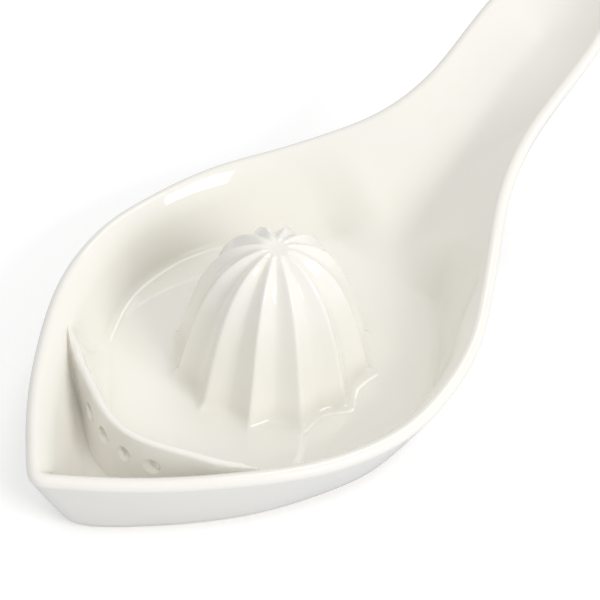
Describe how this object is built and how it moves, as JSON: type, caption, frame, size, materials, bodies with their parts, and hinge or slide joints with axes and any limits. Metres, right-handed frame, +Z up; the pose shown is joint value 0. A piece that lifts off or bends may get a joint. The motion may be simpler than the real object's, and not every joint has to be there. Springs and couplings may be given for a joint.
{
  "type": "lemon squeezer",
  "caption": "Glazed porcelain lemon squeezer: a pointed dish with a fluted cone, a pierced strainer wall, a pouring pocket and a rising trough handle.",
  "frame": {"origin": "middle of the overall length, on the plane the foot stands on", "axes": "+X from the pouring lip to the handle's end, +Z up"},
  "size_m": [0.2152, 0.1102, 0.0659],
  "materials": {
    "glaze": "glossy cream-white glaze",
    "bisque": "unglazed matt porcelain"
  },
  "bodies": {
    "root": {"dish": "glaze", "handle": "glaze", "reamer": "glaze", "strainer_wall": "glaze", "foot_ring": "bisque"}
  },
  "joints": []
}
